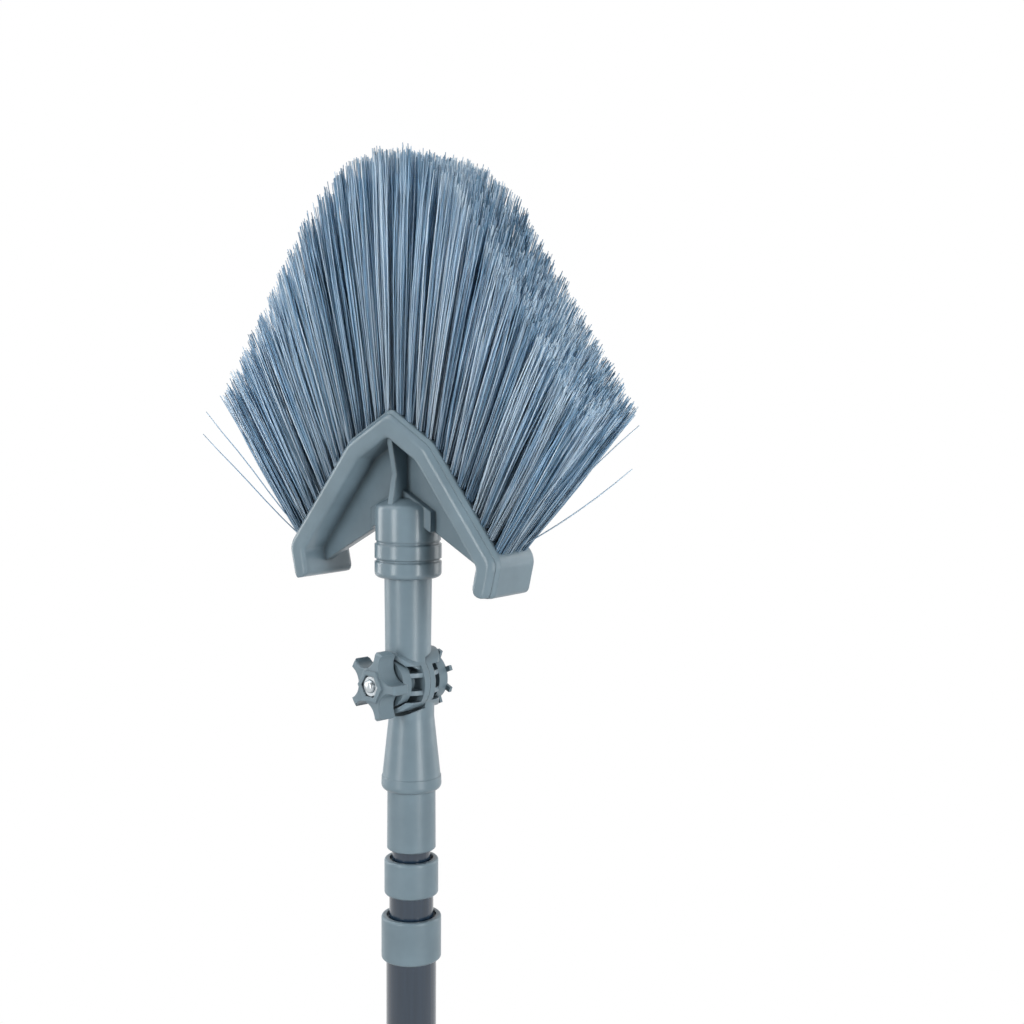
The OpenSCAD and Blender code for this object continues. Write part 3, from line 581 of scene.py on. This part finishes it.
def backing_mesh():
    """The slice of backing that the tufts stand in: a shallow trapezoid swept along the wall's outline."""
    half = 8
    top = slice_line(0.0, half)
    low = slice_line(SLICE_T, half)
    both = np.array([-1.0, 1.0])
    top = np.concatenate([(top[1:] * both)[::-1], top])
    low = np.concatenate([(low[1:] * both)[::-1], low])
    section = [(top, y) for y in (-FIELD_HALF, -FIELD_HALF / 2, 0, FIELD_HALF / 2, FIELD_HALF)]
    section += [(low, SLICE_HALF), (low, -SLICE_HALF)]
    points = []
    for line, y in section:
        points.append(np.stack([line[:, 0], np.full(len(line), y), line[:, 1]], axis=-1))
    grid = np.stack(points, axis=1)
    m, n = grid.shape[:2]
    flat = grid.reshape(-1, 3)
    index = np.arange(m * n).reshape(m, n)
    a = index[:-1]
    b = index[1:]
    faces = np.stack([a, np.roll(a, -1, axis=1), np.roll(b, -1, axis=1), b], axis=-1).reshape(-1, 4)
    return head_points(flat[:, 0], flat[:, 1], flat[:, 2]), faces[:, ::-1]


# Settings


class BrushSettings(bpy.types.PropertyGroup):
    """Sizes and finishes of the bristles, the details and the studio."""

    fibres: bpy.props.IntProperty(
        name="Fibres", description="Fibres in one tuft", default=62, min=10, max=140)
    segments: bpy.props.IntProperty(
        name="Segments", description="Stretches along one fibre", default=6, min=3, max=10)
    fibre_radius: bpy.props.FloatProperty(
        name="Fibre radius", description="Radius of a fibre, in mm", default=0.36, min=0.1, max=0.6)
    fan_tilt: bpy.props.FloatProperty(
        name="Fan tilt", description="Lean of the whole fan to the right",
        default=math.radians(3.8), subtype="ANGLE", unit="ROTATION")
    tuft_radius: bpy.props.FloatProperty(
        name="Tuft radius", description="Radius of a tuft at the block, in mm",
        default=2.7, min=1, max=3.4)
    fill: bpy.props.FloatProperty(
        name="Fill", description="Growth of a tuft's own spread at its tips", default=1.35, min=1, max=2)
    bow: bpy.props.FloatProperty(
        name="Bow", description="Spread of the fibres' bow, in mm", default=0.9, min=0, max=3)
    wave: bpy.props.FloatProperty(
        name="Wave", description="Spread of the fibres' wander, in mm", default=0.5, min=0, max=3)
    stray: bpy.props.FloatProperty(
        name="Stray", description="Spread of the fibres' lean",
        default=0.012, min=0, max=0.1, unit="ROTATION")
    plastic_colour: bpy.props.StringProperty(
        name="Plastic", description="Colour of the moulded pieces", default="#7c909b")
    grip_colour: bpy.props.StringProperty(
        name="Grip", description="Colour of the grip", default="#778b96")
    tube_colour: bpy.props.StringProperty(
        name="Tube", description="Colour of the tubes' coating", default="#26384a")
    dark_fibre: bpy.props.StringProperty(
        name="Dark fibre", description="Colour of the darkest fibres", default="#224966")
    fibre_colour: bpy.props.StringProperty(
        name="Fibre", description="Colour of a middling fibre", default="#82accd")
    light_fibre: bpy.props.StringProperty(
        name="Light fibre", description="Colour of the lightest fibres", default="#d8eeff")
    floor_z: bpy.props.FloatProperty(
        name="Floor", description="Height of the floor",
        default=-0.016, subtype="DISTANCE", unit="LENGTH")
    camera_distance: bpy.props.FloatProperty(
        name="Camera distance", description="Distance from the pole",
        default=0.719, subtype="DISTANCE", unit="LENGTH")
    camera_height: bpy.props.FloatProperty(
        name="Camera height", description="Height above the hang hole",
        default=1.3562, subtype="DISTANCE", unit="LENGTH")
    camera_azimuth: bpy.props.FloatProperty(
        name="Camera azimuth", description="Angle from the front",
        default=math.radians(40), subtype="ANGLE", unit="ROTATION")
    camera_pitch: bpy.props.FloatProperty(
        name="Camera pitch", description="Downward tilt",
        default=math.radians(5.05), subtype="ANGLE", unit="ROTATION")
    camera_yaw: bpy.props.FloatProperty(
        name="Camera yaw", description="Turn that puts the pole left of the middle",
        default=math.radians(3.9), subtype="ANGLE", unit="ROTATION")
    camera_roll: bpy.props.FloatProperty(
        name="Camera roll", description="Turn of the camera about its own axis",
        default=math.radians(0.4), subtype="ANGLE", unit="ROTATION")
    camera_lens: bpy.props.FloatProperty(
        name="Lens", description="Focal length, in mm on a 36 mm sensor", default=51.9, min=20, max=120)
    camera_shift: bpy.props.FloatProperty(
        name="Shift", description="Vertical lens shift", default=0.0, min=-0.3, max=0.3)
    key_power: bpy.props.FloatProperty(
        name="Key power", description="Power of the soft key light, in watts", default=10.5, min=0)
    fill_power: bpy.props.FloatProperty(
        name="Fill power", description="Power of the fill light, in watts", default=8.0, min=0)
    left_power: bpy.props.FloatProperty(
        name="Left power", description="Power of the light behind on the left, in watts",
        default=6.0, min=0)
    right_power: bpy.props.FloatProperty(
        name="Right power", description="Power of the light behind on the right, in watts",
        default=4.0, min=0)
    top_power: bpy.props.FloatProperty(
        name="Top power", description="Power of the light above, in watts", default=6.0, min=0)
    world_level: bpy.props.FloatProperty(
        name="World", description="Level of the even light all round", default=0.06, min=0)


# Operators


class BRUSH_OT_materials(bpy.types.Operator):
    """Gives every CAD node the material of its slot in the record"""

    bl_idname = "brush.materials"
    bl_label = "Materials"

    def execute(self, context):
        made = build_materials(context.scene.brush)
        slots = dict(pair.split("=") for pair in context.scene.brush_frame_nodes.split())
        for name, slot in slots.items():
            obj = bpy.data.objects[name]
            obj.data.materials.clear()
            obj.data.materials.append(made["head_block" if name.split(".")[0] == "head_block" else slot])
        return {"FINISHED"}


class BRUSH_OT_bristles(bpy.types.Operator):
    """Builds the fan of bristles and the slice of the backing that carries it"""

    bl_idname = "brush.bristles"
    bl_label = "Bristles"

    def execute(self, context):
        settings = context.scene.brush
        material = bpy.data.materials["bristle_drawn_fibre"]
        for side, node_name in ((-1, "bristles_left"), (1, "bristles_right")):
            for part, rows in enumerate(((0, 1), (2, 3))):
                seed = FIRST_SEED + part + SIDE_SEED * (side > 0)
                points, faces, tone, share = fibre_mesh(side, rows, settings, seed)
                obj = add_mesh(f"fibres_{node_name[9:]}_{part}", points, faces, material)
                for label, values in (("tone", tone), ("along", share)):
                    layer = obj.data.attributes.new(label, "FLOAT", "POINT")
                    layer.data.foreach_set("value", values.astype(np.float32))
                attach(obj, "head")
                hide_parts(node_name)
        points, faces = backing_mesh()
        plastic = bpy.data.materials["moulded_plastic_satin"]
        backing = add_mesh("tuft_backing", points, faces, plastic, smooth=False)
        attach(backing, "head")
        return {"FINISHED"}


class BRUSH_OT_details(bpy.types.Operator):
    """Builds the nut, the bolt's threaded end and the ribs on the elbow's far cheek"""

    bl_idname = "brush.details"
    bl_label = "Details"

    def execute(self, context):
        zinc = bpy.data.materials["zinc_plated_steel"]
        nut = add_mesh("nut", *nut_mesh(), zinc, smooth=False)
        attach(nut, "knob")
        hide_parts("knob_nut")
        end = add_mesh("bolt_end", *bolt_end_mesh(), zinc)
        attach(end, "inner_section")
        plastic = bpy.data.materials["moulded_plastic_satin"]
        for k, (points, faces) in enumerate(rib_meshes()):
            rib = add_mesh(f"cheek_rib_{k}", points, faces, plastic, smooth=False)
            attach(rib, "inner_section")
        return {"FINISHED"}


class BRUSH_OT_stage(bpy.types.Operator):
    """Sets the pale floor, the soft lights and the camera"""

    bl_idname = "brush.stage"
    bl_label = "Studio"

    def execute(self, context):
        scene = context.scene
        settings = scene.brush
        build_floor(settings)
        build_world(scene, settings)
        build_lights(scene, settings)
        build_camera(scene, settings)
        scene.view_settings.view_transform = "Standard"
        return {"FINISHED"}


class BRUSH_PT_panel(bpy.types.Panel):
    """Sidebar panel with the brush's operators and sizes"""

    bl_label = "Cobweb brush"
    bl_space_type = "VIEW_3D"
    bl_region_type = "UI"
    bl_category = "Brush"

    def draw(self, context):
        layout = self.layout
        for operator in OPERATORS:
            layout.operator(operator.bl_idname)
        for name in BrushSettings.__annotations__:
            layout.prop(context.scene.brush, name)


# Studio


def pale_surface(name, shade):
    """A matt pale surface that keeps the object's soft shadow and fades to white a metre away."""
    material, tree, shader = new_material(name)
    shader.inputs["Base Color"].default_value = (shade, shade, shade, 1.0)
    shader.inputs["Roughness"].default_value = 0.9
    path = node(tree, "ShaderNodeLightPath", (0, 300))
    seen = node(tree, "ShaderNodeMath", (200, 300), {"operation": "MAXIMUM"},
                i0=path.outputs["Is Camera Ray"], i1=path.outputs["Is Glossy Ray"])
    place = node(tree, "ShaderNodeTexCoord", (0, 600)).outputs["Object"]
    reach = node(tree, "ShaderNodeVectorMath", (200, 600), {"operation": "LENGTH"}, i0=place)
    fade = node(tree, "ShaderNodeMapRange", (400, 600), {"interpolation_type": "SMOOTHSTEP"},
                Value=reach.outputs["Value"], i1=0.15, i2=1.0, i3=0.7, i4=1.0)
    share = node(tree, "ShaderNodeMath", (600, 400), {"operation": "MULTIPLY"},
                 i0=seen.outputs[0], i1=fade.outputs[0])
    white = node(tree, "ShaderNodeEmission", (400, 150), Color=(1.0, 1.0, 1.0, 1.0), Strength=1.0)
    mixed = node(tree, "ShaderNodeMixShader", (750, 150),
                 Fac=share.outputs[0], i1=shader.outputs[0], i2=white.outputs[0])
    tree.links.new(mixed.outputs[0], tree.nodes["Material Output"].inputs["Surface"])
    return material


def build_floor(settings):
    """A wide floor under the grip."""
    z = settings.floor_z / MM
    points = [(x * FLOOR_HALF, y * FLOOR_HALF, z) for x, y in ((-1, -1), (1, -1), (1, 1), (-1, 1))]
    floor = add_mesh("studio_floor", points, [(0, 1, 2, 3)], pale_surface("studio_floor_matt", FLOOR_SHADE))


def build_world(scene, settings):
    """White to the camera, dim as light, and in reflections white behind the brush and dim before it."""
    world = bpy.data.worlds.new("studio_world")
    scene.world = world
    world.use_nodes = True
    tree = world.node_tree
    tree.nodes.clear()
    path = node(tree, "ShaderNodeLightPath", (-800, 0))
    look = node(tree, "ShaderNodeTexCoord", (-1200, -300)).outputs["Generated"]
    toward = camera_axes(settings)[1]
    front = node(tree, "ShaderNodeVectorMath", (-1000, -300), {"operation": "DOT_PRODUCT"},
                 i0=look, i1=tuple(toward))
    room = node(tree, "ShaderNodeMapRange", (-800, -300), {"interpolation_type": "SMOOTHSTEP"},
                Value=front.outputs["Value"], i1=0.05, i2=0.5, i3=1.0, i4=0.25)
    mirror = node(tree, "ShaderNodeMath", (-600, -300), {"operation": "MULTIPLY"},
                  i0=path.outputs["Is Glossy Ray"], i1=room.outputs[0])
    clear = node(tree, "ShaderNodeMath", (-400, -150), {"operation": "MAXIMUM"},
                 i0=mirror.outputs[0], i1=path.outputs["Is Transmission Ray"])
    seen = node(tree, "ShaderNodeMath", (-400, 0), {"operation": "MAXIMUM"},
                i0=path.outputs["Is Camera Ray"], i1=clear.outputs[0])
    level = node(tree, "ShaderNodeMapRange", (-200, 0),
                 Value=seen.outputs[0], i3=settings.world_level, i4=1.0)
    back = node(tree, "ShaderNodeBackground", (0, 0), Color=(1.0, 1.0, 1.0, 1.0), Strength=level.outputs[0])
    output = node(tree, "ShaderNodeOutputWorld", (200, 0))
    tree.links.new(back.outputs[0], output.inputs["Surface"])


def camera_axes(settings):
    """Unit vectors to the camera's right and from the pole towards the camera."""
    a = settings.camera_azimuth
    return np.array([math.cos(a), math.sin(a), 0.0]), np.array([math.sin(a), -math.cos(a), 0.0])


def aim(obj, place, target):
    """Puts an object at a place, with its -Z axis towards a target."""
    obj.location = Vector(place)
    obj.rotation_euler = (Vector(target) - Vector(place)).to_track_quat("-Z", "Y").to_euler()


def build_lights(scene, settings):
    """Soft lamps by their angles from the camera's axis and the level."""
    right, toward = camera_axes(settings)
    up = np.array([0.0, 0.0, 1.0])
    target = np.array([0.0, 0.0, LAMP_TARGET])
    lamps = [
        ("key", 36, 2, (0.3, 0.9), settings.key_power),
        ("fill", -50, 5, (0.35, 0.9), settings.fill_power),
        ("left_rim", -115, 8, (0.5, 1.0), settings.left_power),
        ("right_rim", 115, 8, (0.5, 1.0), settings.right_power),
        ("top", -108, 60, (0.8, 0.8), settings.top_power),
    ]
    for name, azimuth, elevation, size, power in lamps:
        data = bpy.data.lights.new(name, "AREA")
        data.shape = "RECTANGLE"
        data.size, data.size_y = size
        data.energy = power
        lamp = bpy.data.objects.new(name, data)
        scene.collection.objects.link(lamp)
        a, e = math.radians(azimuth), math.radians(elevation)
        offset = (right * math.sin(a) + toward * math.cos(a)) * math.cos(e) + up * math.sin(e)
        aim(lamp, target + offset * LAMP_DISTANCE, target)


def build_camera(scene, settings):
    """The photograph's view: above the elbow, right of the front, with the pole left of the middle."""
    right, toward = camera_axes(settings)
    place = toward * settings.camera_distance + np.array([0.0, 0.0, settings.camera_height])
    pitch, yaw = settings.camera_pitch, settings.camera_yaw
    look = -toward * math.cos(yaw) + right * math.sin(yaw)
    look = look * math.cos(pitch) + np.array([0.0, 0.0, -math.sin(pitch)])
    data = bpy.data.cameras.new("camera")
    data.sensor_width = 36.0
    data.lens = settings.camera_lens
    data.shift_y = settings.camera_shift
    data.clip_start = 0.05
    data.clip_end = 50.0
    camera = bpy.data.objects.new("camera", data)
    scene.collection.objects.link(camera)
    aim(camera, place, place + look)
    camera.rotation_euler.rotate_axis("Z", settings.camera_roll)
    scene.camera = camera


OPERATORS = (BRUSH_OT_materials, BRUSH_OT_bristles, BRUSH_OT_details, BRUSH_OT_stage)
CLASSES = (BrushSettings, *OPERATORS, BRUSH_PT_panel)


def register():
    """Adds the settings, operators and panel."""
    for cls in CLASSES:
        bpy.utils.register_class(cls)
    bpy.types.Scene.brush = bpy.props.PointerProperty(type=BrushSettings)
    bpy.types.Scene.brush_frame_nodes = bpy.props.StringProperty(
        name="Nodes", description="Object and material slot of each CAD node", default="")


def unregister():
    """Removes what register added."""
    del bpy.types.Scene.brush_frame_nodes
    del bpy.types.Scene.brush
    for cls in reversed(CLASSES):
        bpy.utils.unregister_class(cls)


def main():
    """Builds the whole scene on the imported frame."""
    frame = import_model()
    register()
    slots = {part["node"]: part["material_slot"] for part in frame["record"]["subparts"]}
    bpy.context.scene.brush_frame_nodes = " ".join(
        f"{frame['nodes'][name].name}={slot}" for name, slot in slots.items())
    bpy.ops.brush.materials()
    bpy.ops.brush.bristles()
    bpy.ops.brush.details()
    bpy.ops.brush.stage()


if __name__ == "__main__":
    main()
